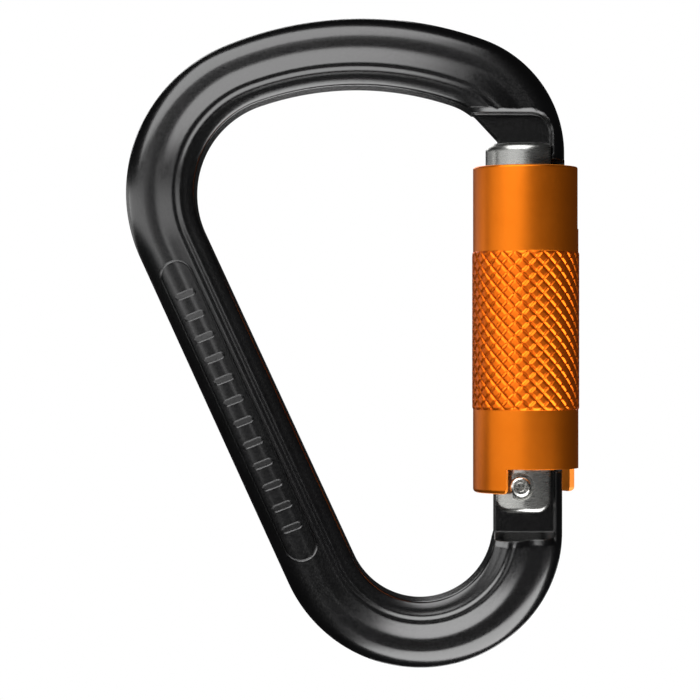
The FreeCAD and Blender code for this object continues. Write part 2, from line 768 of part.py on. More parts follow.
def make_twist_spring():
    body = on_axis(new_body("twist_spring"))
    coil(body, "twist_coil", (0, "twist_spring_radius"), "twist_spring_bottom", "twist_spring_top",
         "twist_spring_turns", "twist_spring_wire")
    leg_start = formula(("twist_spring_top", "twist_spring_wire"))
    upper = new_sketch(body, "upper_leg_outline", "XY_Plane", leg_start)
    circle(upper, (0, "twist_spring_radius"), 0, "twist_spring_leg")
    pad(body, upper, "upper_leg", "sizes.upper_leg")
    lower = new_sketch(body, "lower_leg_outline", "YZ_Plane", "-sizes.twist_spring_radius")
    circle(lower, 0, "twist_spring_bottom", "twist_spring_leg")
    pad(body, lower, "lower_leg", "sizes.lower_leg")
    return body


# ---------------------------------------------------------------- the whole carabiner

pieces = [
    make_frame(),
    make_gate(),
    make_rivet(),
    make_latch_pin(),
    make_plunger(),
    make_gate_spring(),
    make_sleeve(),
    make_upper_bush(),
    make_bush("lower_bush"),
    make_ring("upper_ring"),
    make_ring("lower_ring"),
    make_twist_spring(),
]
doc.recompute()

for item in doc.Objects:
    if "Invalid" in item.State or "Error" in item.State:
        raise RuntimeError("%s failed: %s" % (item.Name, item.getStatusString()))
for piece in pieces:
    if piece.Shape.isNull() or not piece.Shape.isValid() or len(piece.Shape.Solids) != 1:
        raise RuntimeError(piece.Label + " is not one valid solid")

os.makedirs("parts", exist_ok=True)
for piece in pieces:
    piece.Shape.exportStep("parts/%s.step" % piece.Label)
    print("%-16s %9.2f mm3" % (piece.Label, piece.Shape.Volume))
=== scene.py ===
import math

import bmesh
import bpy
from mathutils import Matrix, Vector


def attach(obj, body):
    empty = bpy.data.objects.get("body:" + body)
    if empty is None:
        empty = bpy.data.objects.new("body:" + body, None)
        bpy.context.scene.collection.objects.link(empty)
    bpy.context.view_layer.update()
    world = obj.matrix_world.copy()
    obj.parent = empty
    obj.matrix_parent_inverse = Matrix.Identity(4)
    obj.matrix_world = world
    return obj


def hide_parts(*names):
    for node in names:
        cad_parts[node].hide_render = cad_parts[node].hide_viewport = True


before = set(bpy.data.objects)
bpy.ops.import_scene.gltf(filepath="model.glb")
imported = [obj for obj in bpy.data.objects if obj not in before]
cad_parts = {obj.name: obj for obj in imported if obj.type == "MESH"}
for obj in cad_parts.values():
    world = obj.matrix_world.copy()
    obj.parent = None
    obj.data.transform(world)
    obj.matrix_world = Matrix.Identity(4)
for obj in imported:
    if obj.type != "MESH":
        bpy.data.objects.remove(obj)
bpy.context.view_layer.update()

MM = 0.001
TURN = 2 * math.pi

# Outline of the frame in millimetres: each circle is (centre x, centre z, radius).
OUTER_TOP = (1.5, -6.0, 63.0)
OUTER_LEFT_CENTRE = (-11.9, 26.45)
OUTER_RIGHT_CENTRE = (15.8, 33.2)
OUTER_LOW = (11.9, -31.5, 25.5)
OUTER_HEEL_CENTRE = (13.44, -33.11)
INNER_TOP = (0.7, -7.6, 52.5)
INNER_LEFT_CENTRE = (-11.1, 26.4)
INNER_NECK_CENTRE = (14.0, 31.7)
INNER_LOW = (11.95, -32.15, 12.85)
BAR_WIDTH = 12.0
BAR_CREST = 5.6
RIM_RADIUS = 3.55
RIM_TILT = 15
INNER_ROUND = 0.75
INNER_TILT = 8
INNER_DROP = 1.2
# The face's slope in degrees at each distance from the outer edge: hollow, rise, crease, ridge and land.
PAD_SLOPES = [
    (3.1, 9), (3.4, 3), (4.2, -2), (5.0, -2), (5.5, 4), (5.8, 12), (6.2, 16), (6.8, 16), (7.2, 13),
    (7.6, 13), (7.9, 16), (8.05, 8), (8.2, -6), (8.45, -14), (8.7, -8), (8.85, 8), (9.0, 24), (9.25, 24),
    (9.4, 8), (9.55, -8), (9.7, -16), (10.0, -16), (10.2, -8), (10.5, -4), (10.9, -6),
]
BOW_ROWS = 130
SPINE_ROWS = 40
LOW_ROWS = 100
NECK_RUN = 2.4
HEEL_RUN = 12.0

# Milled ends of the frame: neck and nose above, heel and tang below.
WEB_HALF = 2.0
MILL_HALF = 8
MILL_LEFT = 15
MILL_RIGHT = 42
NECK_CUT_LOW = 22
HEEL_CUT_HIGH = -12
NECK_STEP = 40.2
NECK_CORNER = 3.5
NECK_WALL = 34.6
NECK_FOOT = 32.0
HEEL_STEP = -33.1
HEEL_WALL = 35.35
HEEL_FOOT = -22.4
RUN_OUT_SLOPE = 2.2 / 4.6
RUN_OUT_OVER = 2
NOSE = (25.5, 35.5)
NOSE_BOTTOM = 24.6
NOSE_CORNER = 0.9
LATCH = (29.3, 28.5)
NOTCH = 1.55
CAM = (26.5, -25.0, 5.5)
TANG_TOP = -20.1
TANG_CORNER = 2.5
PIVOT = (29.0, -24.9)
PIVOT_HOLE = 1.55
TONGUE_ROOT = [(35.5, 38.5), (31.0, 42.5), (21.8, 41.8)]
TONGUE_TURN = math.radians(50.3)
TANG_ROOT = [(35.8, -34.5), (34.0, -36.5), (27.5, -36.5), (25.8, -34.6)]
TUCK = 0.8
CHAMFER_DEPTH = 0.4
CHAMFER_RUN = 0.8
CHAMFER_RISE = 0.06
CHAMFER_OVER = 1.2
NECK_CHAMFER_FIRST = 16.0
NECK_CHAMFER_PITCH = 1.5
NECK_WALL_LEVELS = (35.5, 34.0, 33.0)
HEEL_CHAMFER_FIRST = 24.0
HEEL_CHAMFER_STEP = 0.05

# Plain raised border with ribs on the spine, in mm along the spine from its upper end and mm across the bar.
PANEL_FIRST = 5.5
PANEL_LAST = 57.0
PANEL_MIDDLE = 4.6
PANEL_RADIUS = 2.7
PANEL_WIDTH = 0.5
PANEL_LIFT = 0.25
PANEL_ROOT = -0.4
PANEL_EDGE = 0.08
RIB_COUNT = 12
RIB_FIRST = 9.0
RIB_PITCH = 4.05
RIB_REACH = 1.15
RIB_RADIUS = 0.75
RIB_EDGE = 0.1

# Sleeve: a tube round the gate's axis, with a window below, a slot for the nose above and a knurled band.
AXIS_X = 30.4
SLEEVE_RADIUS = 9.25
SLEEVE_BORE = 8.35
SLEEVE_TOP = 30.9
SLEEVE_BOTTOM = -26.2
SLEEVE_STEPS = 192
SLEEVE_EDGE = 0.12
LOWER_ROUND = 0.7
UPPER_ROUND = 0.4
WINDOW_FIRST = math.radians(-115)
WINDOW_LAST = math.radians(18)
WINDOW_TOP = -21.9
WINDOW_CORNER = 0.9
WINDOW_COLUMNS = 60
WINDOW_CLOSE = 0.02
SLOT_HALF = 2.35
SLOT_BOTTOM = 20.0
SLOT_OVER = 1.1
SLOT_REACH = (2, 12)
CUT_INNER = 7.5
CUT_OUTER = 10.5
BAND_TOP = 16.0
BAND_BOTTOM = -11.65
BAND_CREST = 9.4
BAND_GROOVE = 9.14
BAND_SEAT = 8.9
KNURL_STARTS = 24
KNURL_PITCH = 2.46
KNURL_STEPS = 16
KNURL_FADE = 0.35
MAIN_GROOVE = 0.38
CROSS_GROOVE = 0.3
CROSS_FLOOR = 0.22
OUTWARD = 0.5

# Camera, lights and floor: metres, degrees and watts, and the lens in millimetres.
CAMERA_PLACE = (-0.0005, -0.470, -0.0012)
CAMERA_LENS = 137.4
LAMP_DISTANCE = 0.6
# Name, side as seen by the camera, angle from the camera, width, height and power.
LAMPS = [
    ("softbox_high", 115, 49, 0.68, 0.6, 5.0),
    ("softbox_low", -66, 57, 0.78, 0.6, 7.8),
    ("softbox_left", 180, 60, 1.6, 0.16, 1.55),
    ("softbox_rim", 180, 124, 0.5, 0.16, 0.2),
    ("softbox_back_high", 115, 148, 0.36, 0.36, 1.0),
    ("softbox_back_low", -66, 148, 0.36, 0.36, 1.0),
]
FLOOR_LEVEL = -0.25
FLOOR_RADIUS = 1.2
WORLD_GREY = 0.015
CLOUD_SCALE = 220.0
GRAIN_DETAIL = 4.0


def polar(circle, angle):
    """The point of a circle at an angle."""
    return (circle[0] + circle[2] * math.cos(angle), circle[1] + circle[2] * math.sin(angle))


def arc(circle, first, last, count):
    return [polar(circle, first + (last - first) * step / count) for step in range(count + 1)]


def heading(first, second):
    return math.atan2(second[1] - first[1], second[0] - first[0])


def inside(circle, centre):
    """The circle with this centre that touches the larger one from inside."""
    return (centre[0], centre[1], circle[2] - math.dist(circle[:2], centre))


def side_angle(upper, lower):
    """The angle at which the straight spine touches the circles above and below it."""
    lean = math.asin((upper[2] - lower[2]) / math.dist(upper[:2], lower[:2]))
    return heading(upper, lower) - math.pi / 2 + lean + TURN


def between(first, second, share):
    return tuple(a + (b - a) * share for a, b in zip(first, second))


OUTER_LEFT = inside(OUTER_TOP, OUTER_LEFT_CENTRE)
OUTER_RIGHT = inside(OUTER_TOP, OUTER_RIGHT_CENTRE)
OUTER_HEEL = inside(OUTER_LOW, OUTER_HEEL_CENTRE)
INNER_LEFT = inside(INNER_TOP, INNER_LEFT_CENTRE)
INNER_NECK = inside(INNER_TOP, INNER_NECK_CENTRE)
OUTER_SPINE = side_angle(OUTER_LEFT, OUTER_LOW)
INNER_SPINE = side_angle(INNER_LEFT, INNER_LOW)
NECK_ANGLE = heading(INNER_NECK, NOSE) + math.acos(INNER_NECK[2] / math.dist(INNER_NECK[:2], NOSE))
EDGE_X = OUTER_RIGHT[0] + OUTER_RIGHT[2]
HEEL_X = OUTER_HEEL[0] + OUTER_HEEL[2]
TANG_X = INNER_LOW[0] + INNER_LOW[2]


# ---------------------------------------------------------------- mesh helpers

def new_object(name, vertices, faces):
    mesh = bpy.data.meshes.new(name)
    mesh.from_pydata([Vector(v) * MM for v in vertices], [], faces)
    mesh.validate()
    made = bpy.data.objects.new(name, mesh)
    bpy.context.scene.collection.objects.link(made)
    tidy = bmesh.new()
    tidy.from_mesh(mesh)
    bmesh.ops.recalc_face_normals(tidy, faces=tidy.faces)
    if tidy.calc_volume(signed=True) < 0:
        bmesh.ops.reverse_faces(tidy, faces=tidy.faces)
    tidy.to_mesh(mesh)
    tidy.free()
    return made


def prism(name, outline, low, high, along_x=False):
    """A closed plate: the outline in x-z carried along y, or in y-z carried along x."""
    count = len(outline)
    flat = [(a, b, depth) for depth in (low, high) for a, b in outline]
    vertices = [(depth, a, b) if along_x else (a, depth, b) for a, b, depth in flat]
    faces = [tuple(range(count)), tuple(range(2 * count - 1, count - 1, -1))]
    faces += [(i, (i + 1) % count, count + (i + 1) % count, count + i) for i in range(count)]
    return new_object(name, vertices, faces)


def revolve(name, profile, steps):
    """A closed ring round the gate's axis from a closed profile of (radius, z)."""
    count = len(profile)
    vertices = []
    for step in range(steps):
        turn = TURN * step / steps
        vertices += [(AXIS_X + r * math.cos(turn), r * math.sin(turn), z) for r, z in profile]
    faces = []
    for step in range(steps):
        here, there = step * count, (step + 1) % steps * count
        for i in range(count):
            after = (i + 1) % count
            faces.append((here + i, here + after, there + after, there + i))
    return new_object(name, vertices, faces)


def settle(made):
    """Turns the modifiers into mesh."""
    graph = bpy.context.evaluated_depsgraph_get()
    mesh = bpy.data.meshes.new_from_object(made.evaluated_get(graph))
    made.modifiers.clear()
    made.data = mesh


def combine(made, tool, operation):
    step = made.modifiers.new(operation, "BOOLEAN")
    step.operation = operation
    step.solver = "EXACT"
    step.object = tool
    settle(made)
    bpy.data.objects.remove(tool)


def soften(made, width):
    step = made.modifiers.new("edge", "BEVEL")
    step.width = width * MM
    step.segments = 2
    step.limit_method = "ANGLE"
    step.angle_limit = math.radians(40)
    settle(made)


def smooth(made, angle=40):
    """Smooth shading that leaves flats flat: each corner's normal follows its largest faces."""
    made.data.shade_smooth()
    made.data.set_sharp_from_angle(angle=math.radians(angle))
    step = made.modifiers.new("shading", "WEIGHTED_NORMAL")
    step.keep_sharp = True
    step.weight = 100


# ---------------------------------------------------------------- frame

def section():
    """Half the bar's section as (distance from the outer edge, height). The outer edge is round; past
    it come the pad's hollow, its rise, crease, ridge and low inner land, as slopes in degrees."""
    points = []
    for step in range(13):
        tilt = math.radians(90 - (90 - RIM_TILT) * step / 12)
        points.append((RIM_RADIUS - RIM_RADIUS * math.sin(tilt), RIM_RADIUS * math.cos(tilt)))
    before, rise = RIM_TILT, points[-1][1]
    for u, slope in PAD_SLOPES:
        rise += (u - points[-1][0]) * math.tan(math.radians((before + slope) / 2))
        points.append((u, rise))
        before = slope
    edge = BAR_WIDTH - INNER_ROUND
    for step in range(10):
        tilt = math.radians(INNER_TILT + (90 - INNER_TILT) * step / 9)
        height = rise - INNER_ROUND * (INNER_DROP - math.cos(tilt))
        points.append((edge + INNER_ROUND * math.sin(tilt), height))
    lift = BAR_CREST - max(height for _, height in points)
    raised = [(u, height + lift) for u, height in points]
    return [(0.0, 0.0), (0.0, lift / 2)] + raised + [(BAR_WIDTH, raised[-1][1] / 2), (BAR_WIDTH, 0.0)]


def outer_point(angle):
    if angle < heading(OUTER_TOP, OUTER_RIGHT):
        return polar(OUTER_RIGHT, angle)
    if angle < heading(OUTER_TOP, OUTER_LEFT):
        return polar(OUTER_TOP, angle)
    if angle <= OUTER_SPINE:
        return polar(OUTER_LEFT, angle)
    if angle < heading(OUTER_LOW, OUTER_HEEL) + TURN:
        return polar(OUTER_LOW, angle)
    return polar(OUTER_HEEL, angle)


def inner_point(angle):
    if angle < NECK_ANGLE:
        return between(NOSE, polar(INNER_NECK, NECK_ANGLE), max(angle, 0) / NECK_ANGLE)
    if angle < heading(INNER_TOP, INNER_NECK):
        return polar(INNER_NECK, angle)
    if angle < heading(INNER_TOP, INNER_LEFT):
        return polar(INNER_TOP, angle)
    return polar(INNER_LEFT, min(angle, INNER_SPINE))


def stations():
    """Pairs of an outer and an inner point, from the neck over the wide bow and down to the heel."""
    pairs = []
    for step in range(4):
        drop = NECK_RUN * (1 - step / 4)
        pairs.append(((EDGE_X, OUTER_RIGHT[1] - drop), (NOSE[0], NOSE[1] - drop)))
    for step in range(BOW_ROWS + 1):
        angle = OUTER_SPINE * step / BOW_ROWS
        pairs.append((outer_point(angle), inner_point(angle)))
    outer_top, outer_low = polar(OUTER_LEFT, OUTER_SPINE), polar(OUTER_LOW, OUTER_SPINE)
    inner_top, inner_low = polar(INNER_LEFT, INNER_SPINE), polar(INNER_LOW, INNER_SPINE)
    for step in range(1, SPINE_ROWS):
        share = step / SPINE_ROWS
        pairs.append((between(outer_top, outer_low, share), between(inner_top, inner_low, share)))
    for step in range(LOW_ROWS + 1):
        share = step / LOW_ROWS
        outer = OUTER_SPINE + 1e-6 + (TURN - OUTER_SPINE) * share
        inner = INNER_SPINE + (TURN - INNER_SPINE) * share
        pairs.append((outer_point(outer), polar(INNER_LOW, inner)))
    for step in range(1, 9):
        rise = HEEL_RUN * step / 8
        pairs.append(((HEEL_X, OUTER_HEEL[1] + rise), (TANG_X, INNER_LOW[1] + rise)))
    return pairs


STATIONS = stations()
HALF_SECTION = section()


def loft(name):
    """The whole bar: the section carried through every station."""
    ring = [(u / BAR_WIDTH, -y) for u, y in HALF_SECTION]
    ring += [(u / BAR_WIDTH, y) for u, y in HALF_SECTION[-2:0:-1]]
    vertices = []
    for outer, inner in STATIONS:
        for share, y in ring:
            x, z = between(outer, inner, share)
            vertices.append((x, y, z))
    count = len(ring)
    faces = [tuple(range(count)), tuple(range(len(vertices) - 1, len(vertices) - count - 1, -1))]
    for row in range(len(STATIONS) - 1):
        base = row * count
        for i in range(count):
            after = (i + 1) % count
            faces.append((base + i, base + after, base + count + after, base + count + i))
    return new_object(name, vertices, faces)


def face_height(across):
    """Height of the bar's face at a distance from the outer edge."""
    return next(
        ya + (yb - ya) * (across - ua) / (ub - ua)
        for (ua, ya), (ub, yb) in zip(HALF_SECTION, HALF_SECTION[1:]) if ua <= across < ub
    )


def surface_level(x, z):
    """Height of the bar's face over a point of the outline's plane."""
    nearest = (math.inf, 0.0)
    for outer, inner in STATIONS:
        run = (inner[0] - outer[0], inner[1] - outer[1])
        away = (x - outer[0], z - outer[1])
        share = (run[0] * away[0] + run[1] * away[1]) / (run[0] ** 2 + run[1] ** 2)
        share = min(max(share, 0.0), 0.999)
        gap = math.dist((x, z), between(outer, inner, share))
        nearest = min(nearest, (gap, share * BAR_WIDTH))
    return face_height(nearest[1])


def edge_cutter(name, edge, side):
    """Cuts a chamfer along an edge of the face; each point of it is (x, z, level, way out x, way out z)."""
    outline = (
        (0, -CHAMFER_DEPTH), (CHAMFER_RUN, CHAMFER_RISE), (CHAMFER_RUN, CHAMFER_OVER),
        (-CHAMFER_RUN, CHAMFER_OVER), (-CHAMFER_RUN, -CHAMFER_DEPTH),
    )
    vertices = []
    for x, z, level, out_x, out_z in edge:
        for out, height in outline:
            vertices.append((x + out_x * out, side * (level + height), z + out_z * out))
    last = len(vertices) - 5
    faces = [(0, 1, 2, 3, 4), (last + 4, last + 3, last + 2, last + 1, last)]
    for base in range(0, last, 5):
        faces += [(base + i, base + (i + 1) % 5, base + 5 + (i + 1) % 5, base + 5 + i) for i in range(5)]
    return new_object(name, vertices, faces)


def neck_edge():
    """The upper and outer edge of the neck's pocket."""
    centre = (NECK_WALL - NECK_CORNER, NECK_STEP - NECK_CORNER)
    points = [(NECK_CHAMFER_FIRST + NECK_CHAMFER_PITCH * step, NECK_STEP, 0, 1) for step in range(10)]
    for step in range(13):
        turn = math.pi / 2 * (1 - step / 12)
        x, z = polar((*centre, NECK_CORNER), turn)
        points.append((x, z, math.cos(turn), math.sin(turn)))
    points += [(NECK_WALL, z, 1, 0) for z in NECK_WALL_LEVELS]
    return [(x, z, surface_level(x, z), out_x, out_z) for x, z, out_x, out_z in points]


def heel_edge():
    """Where the heel's run-out slope meets the face."""
    points = []
    for step in range(25):
        x = HEEL_CHAMFER_FIRST + (HEEL_WALL - HEEL_CHAMFER_FIRST) * step / 24
        z = HEEL_STEP
        while WEB_HALF + (HEEL_STEP - z) / RUN_OUT_SLOPE < surface_level(x, z):
            z -= HEEL_CHAMFER_STEP
        points.append((x, z, surface_level(x, z), 0, -1))
    return points


def neck_pocket():
    """What is milled away beside the nose, with one round corner."""
    corner = (NECK_WALL - NECK_CORNER, NECK_STEP - NECK_CORNER, NECK_CORNER)
    below = [(MILL_LEFT, NECK_CUT_LOW), (MILL_RIGHT, NECK_CUT_LOW)]
    below += [(MILL_RIGHT, NECK_FOOT), (NECK_WALL, NECK_FOOT)]
    return below + arc(corner, 0, math.pi / 2, 16) + [(MILL_LEFT, NECK_STEP)]


def heel_pocket():
    """What is milled away beside the tang."""
    return [
        (MILL_LEFT, HEEL_STEP), (HEEL_WALL, HEEL_STEP), (HEEL_WALL, HEEL_FOOT), (MILL_RIGHT, HEEL_FOOT),
        (MILL_RIGHT, HEEL_CUT_HIGH), (MILL_LEFT, HEEL_CUT_HIGH),
    ]


def run_out(side):
    """The slope, in y and z, by which the heel's pocket runs out into the face."""
    low = HEEL_STEP - (MILL_HALF - WEB_HALF) * RUN_OUT_SLOPE
    return [
        (side * WEB_HALF, HEEL_STEP), (side * MILL_HALF, low),
        (side * MILL_HALF, HEEL_STEP + RUN_OUT_OVER), (side * WEB_HALF, HEEL_STEP + RUN_OUT_OVER),
    ]


def make_tongue():
    """The nose: a plate with the notch that hooks over the latch pin."""
    outline = arc(INNER_NECK, TONGUE_TURN, NECK_ANGLE, 4) + [NOSE, (NOSE[0], LATCH[1] + NOTCH)]
    outline += arc((*LATCH, NOTCH), math.pi / 2, -math.pi / 2, 16)
    outline += [
        (NOSE[0], LATCH[1] - NOTCH), (NOSE[0], NOSE_BOTTOM + NOSE_CORNER),
        (NOSE[0] + NOSE_CORNER, NOSE_BOTTOM), (EDGE_X - NOSE_CORNER, NOSE_BOTTOM),
        (EDGE_X, NOSE_BOTTOM + NOSE_CORNER), (EDGE_X, NECK_FOOT), (EDGE_X - TUCK, NECK_FOOT + TUCK),
    ]
    return prism("tongue", outline + TONGUE_ROOT, -WEB_HALF, WEB_HALF)


def make_tang():
    """The hinge's plate, with its round cam on top and the pivot's hole."""
    cam_last = math.acos((TANG_X - CAM[0]) / CAM[2])
    cam_first = math.asin((TANG_TOP - CAM[1]) / CAM[2])
    corner = (HEEL_X - TANG_CORNER, TANG_TOP - TANG_CORNER, TANG_CORNER)
    outline = [TANG_ROOT[-1], (TANG_X, HEEL_STEP)] + arc(CAM, cam_last, cam_first, 12)
    outline += arc(corner, math.pi / 2, 0, 12) + [(HEEL_X - TUCK, HEEL_FOOT - 1.0)] + TANG_ROOT[:-1]
    plate = prism("tang", outline, -WEB_HALF, WEB_HALF)
    hole = arc((*PIVOT, PIVOT_HOLE), 0, TURN * 47 / 48, 47)
    combine(plate, prism("pivot_hole", hole, -MILL_HALF, MILL_HALF), "DIFFERENCE")
    return plate


def make_frame():
    body = loft("forged_frame")
    combine(body, prism("neck_cut", neck_pocket(), -MILL_HALF, MILL_HALF), "DIFFERENCE")
    combine(body, prism("heel_cut", heel_pocket(), -MILL_HALF, MILL_HALF), "DIFFERENCE")
    for side in (-1, 1):
        combine(body, prism("slope_cut", run_out(side), MILL_LEFT, HEEL_WALL, along_x=True), "DIFFERENCE")
        combine(body, edge_cutter("neck_chamfer", neck_edge(), side), "DIFFERENCE")
        combine(body, edge_cutter("heel_chamfer", heel_edge(), side), "DIFFERENCE")
    combine(body, make_tongue(), "UNION")
    combine(body, make_tang(), "UNION")
    smooth(body)
    return body


def spine_point(along, across, lift):
    """A point over the spine's pad: mm along from its upper end, mm across from its outer edge."""
    ends = ((OUTER_LEFT, OUTER_LOW, OUTER_SPINE), (INNER_LEFT, INNER_LOW, INNER_SPINE))
    length = math.dist(polar(OUTER_LEFT, OUTER_SPINE), polar(OUTER_LOW, OUTER_SPINE))
    outer, inner = (between(polar(a, turn), polar(b, turn), along / length) for a, b, turn in ends)
    x, z = between(outer, inner, across / BAR_WIDTH)
    return (x, -(face_height(across) + lift), z)


def stadium(first, last, middle, radius):
    """A closed path of (along, across, normal along, normal across) with two round ends."""
    path = []
    for centre, start in ((last, -math.pi / 2), (first, math.pi / 2)):
        for step in range(17):
            turn = start + math.pi * step / 16
            path.append((centre, middle, math.cos(turn), math.sin(turn)))
    dense = []
    for (s0, m0, c0, d0), (s1, m1, c1, d1) in zip(path, path[1:] + path[:1]):
        pieces = max(1, round(abs(s1 - s0) / 1.5))
        for step in range(pieces):
            share = step / pieces
            dense.append((s0 + (s1 - s0) * share, m0, c0, d0))
    return [(s + c * radius, m + d * radius, c, d) for s, m, c, d in dense]


def border_mesh():
    """Vertices and faces of the raised border, four points round its section."""
    half = PANEL_WIDTH / 2
    ring = (
        (half, PANEL_ROOT), (half - PANEL_EDGE, PANEL_LIFT),
        (PANEL_EDGE - half, PANEL_LIFT), (-half, PANEL_ROOT),
    )
    path = stadium(PANEL_FIRST, PANEL_LAST, PANEL_MIDDLE, PANEL_RADIUS)
    vertices = [
        spine_point(s + c * shift, u + d * shift, height) for s, u, c, d in path for shift, height in ring
    ]
    faces = []
    for i in range(len(path)):
        here, there = 4 * i, 4 * ((i + 1) % len(path))
        faces += [(here + k, here + (k + 1) % 4, there + (k + 1) % 4, there + k) for k in range(4)]
    return vertices, faces


def make_panel():
    """A plain raised border with plain oblong ribs in it, on the spine's front face."""
    vertices, faces = border_mesh()
    rib_path = stadium(-RIB_REACH, RIB_REACH, 0, RIB_RADIUS)
    for rib in range(RIB_COUNT):
        middle = RIB_FIRST + rib * RIB_PITCH
        outline = [(middle + u, PANEL_MIDDLE + s, d, c) for s, u, c, d in rib_path]
        base, rim = len(vertices), len(outline)
        for inset, height in ((0.0, PANEL_ROOT), (RIB_EDGE, PANEL_LIFT)):
            vertices += [spine_point(s - c * inset, u - d * inset, height) for s, u, c, d in outline]
        faces.append(tuple(base + i for i in range(rim)))
        faces.append(tuple(base + rim + i for i in reversed(range(rim))))
        for i in range(rim):
            after = (i + 1) % rim
            faces.append((base + i, base + after, base + rim + after, base + rim + i))
    panel = new_object("spine_panel", vertices, faces)
    smooth(panel, angle=35)
    return panel


# ---------------------------------------------------------------- sleeve

def wrapped(name, columns, inner, outer):
    """A closed cutter bent round the gate's axis; each column is (angle, low z, high z)."""
    vertices = []
    for angle, low, high in columns:
        for radius, z in ((inner, low), (outer, low), (outer, high), (inner, high)):
            vertices.append((AXIS_X + radius * math.cos(angle), radius * math.sin(angle), z))
    last = len(vertices) - 4
    faces = [(0, 1, 2, 3), (last + 3, last + 2, last + 1, last)]
    for base in range(0, last, 4):
        faces += [(base + i, base + (i + 1) % 4, base + 4 + (i + 1) % 4, base + 4 + i) for i in range(4)]
    return new_object(name, vertices, faces)


def window_columns(first, last, top, corner):
    """The window between two angles, with upright sides and the lug's lower corners rounded into it."""
    below = SLEEVE_BOTTOM - 1
    steps = [math.pi / 2 * step / 8 for step in range(9)]
    flare = [(corner / SLEEVE_RADIUS * math.cos(turn), 1 - math.cos(turn)) for turn in steps]
    flare = [(out, SLEEVE_BOTTOM + corner * (1 - math.sqrt(1 - u * u))) for out, u in flare]
    columns = [(first - out, below, high) for out, high in flare]
    pitch = (last - first) / WINDOW_COLUMNS
    shares = (WINDOW_CLOSE, *range(1, WINDOW_COLUMNS), WINDOW_COLUMNS - WINDOW_CLOSE)
    columns += [(first + pitch * share, below, top) for share in shares]
    return columns + [(last + out, below, high) for out, high in reversed(flare)]


def make_shell():
    """The tube with its rounded ends, a seat for the knurled band, the window and the slot for the nose."""
    lower = (SLEEVE_RADIUS - LOWER_ROUND, SLEEVE_BOTTOM + LOWER_ROUND, LOWER_ROUND)
    upper = (SLEEVE_RADIUS - UPPER_ROUND, SLEEVE_TOP - UPPER_ROUND, UPPER_ROUND)
    seat = [(SLEEVE_RADIUS, BAND_BOTTOM), (BAND_SEAT, BAND_BOTTOM)]
    seat += [(BAND_SEAT, BAND_TOP), (SLEEVE_RADIUS, BAND_TOP)]
    profile = [(SLEEVE_BORE, SLEEVE_BOTTOM)] + arc(lower, -math.pi / 2, 0, 8) + seat
    profile += arc(upper, 0, math.pi / 2, 5) + [(SLEEVE_BORE, SLEEVE_TOP)]
    shell = revolve("sleeve_shell", profile, SLEEVE_STEPS)
    columns = window_columns(WINDOW_FIRST, WINDOW_LAST, WINDOW_TOP, WINDOW_CORNER)
    combine(shell, wrapped("window", columns, CUT_INNER, CUT_OUTER), "DIFFERENCE")
    over = SLEEVE_TOP + SLOT_OVER
    slot = [(SLOT_HALF, SLOT_BOTTOM), (SLOT_HALF, over), (-SLOT_HALF, over), (-SLOT_HALF, SLOT_BOTTOM)]
    first, last = (AXIS_X + reach for reach in SLOT_REACH)
    combine(shell, prism("nose_slot", slot, first, last, along_x=True), "DIFFERENCE")
    soften(shell, SLEEVE_EDGE)
    smooth(shell)
    return shell


def knurl_height(turn, rise):
    """From 0 at the bottom of the main grooves to 1 on the diamonds; the crossing grooves are shallower."""
    def groove(phase, width):
        return min(1.0, abs((phase / TURN) % 1.0 - 0.5) * 2 / width)
    main = groove(turn + rise, MAIN_GROOVE)
    cross = groove(turn - rise, CROSS_GROOVE)
    return min(main, CROSS_FLOOR + (1 - CROSS_FLOOR) * cross)


def make_band():
    """The knurled band: a closed ring with diamond relief outside, faded into the sleeve at both ends."""
    steps = KNURL_STARTS * KNURL_STEPS
    rows = round((BAND_TOP - BAND_BOTTOM) / KNURL_PITCH * KNURL_STEPS)
    vertices = []
    for row in range(rows + 1):
        z = BAND_BOTTOM + (BAND_TOP - BAND_BOTTOM) * row / rows
        blend = min(1.0, min(z - BAND_BOTTOM, BAND_TOP - z) / KNURL_FADE)
        for step in range(steps):
            angle = TURN * step / steps
            height = knurl_height(KNURL_STARTS * angle, TURN * z / KNURL_PITCH)
            cut = BAND_GROOVE + (BAND_CREST - BAND_GROOVE) * height
            radius = SLEEVE_RADIUS + (cut - SLEEVE_RADIUS) * blend
            vertices.append((AXIS_X + radius * math.cos(angle), radius * math.sin(angle), z))
    for z in (BAND_BOTTOM, BAND_TOP):
        for step in range(steps):
            angle = TURN * step / steps
            vertices.append((AXIS_X + BAND_SEAT * math.cos(angle), BAND_SEAT * math.sin(angle), z))
    faces = []
    for row in range(rows):
        for step in range(steps):
            here, there = row * steps + step, row * steps + (step + 1) % steps
            faces.append((here, there, there + steps, here + steps))
    low, high = (rows + 1) * steps, (rows + 2) * steps
    for step in range(steps):
        after = (step + 1) % steps
        faces.append((low + step, low + after, after, step))
        faces.append((rows * steps + step, rows * steps + after, high + after, high + step))
        faces.append((high + step, high + after, low + after, low + step))
    band = new_object("sleeve_knurl", vertices, faces)
    smooth(band, angle=28)
    return band


# ---------------------------------------------------------------- materials

def new_material(name):
    material = bpy.data.materials.new(name)
    material.use_nodes = True
    nodes, links = material.node_tree.nodes, material.node_tree.links
    shader = next(n for n in nodes if n.type == "BSDF_PRINCIPLED")
    return material, nodes, links, shader


def mapped_noise(nodes, links, scale, detail=3.0, stretch=(1, 1, 1)):
    place = nodes.new("ShaderNodeTexCoord")
    mapping = nodes.new("ShaderNodeMapping")
    mapping.inputs["Scale"].default_value = stretch
    links.new(place.outputs["Object"], mapping.inputs["Vector"])
    noise = nodes.new("ShaderNodeTexNoise")
    noise.inputs["Scale"].default_value = scale
    noise.inputs["Detail"].default_value = detail
    links.new(mapping.outputs["Vector"], noise.inputs["Vector"])
    return noise.outputs["Fac"]


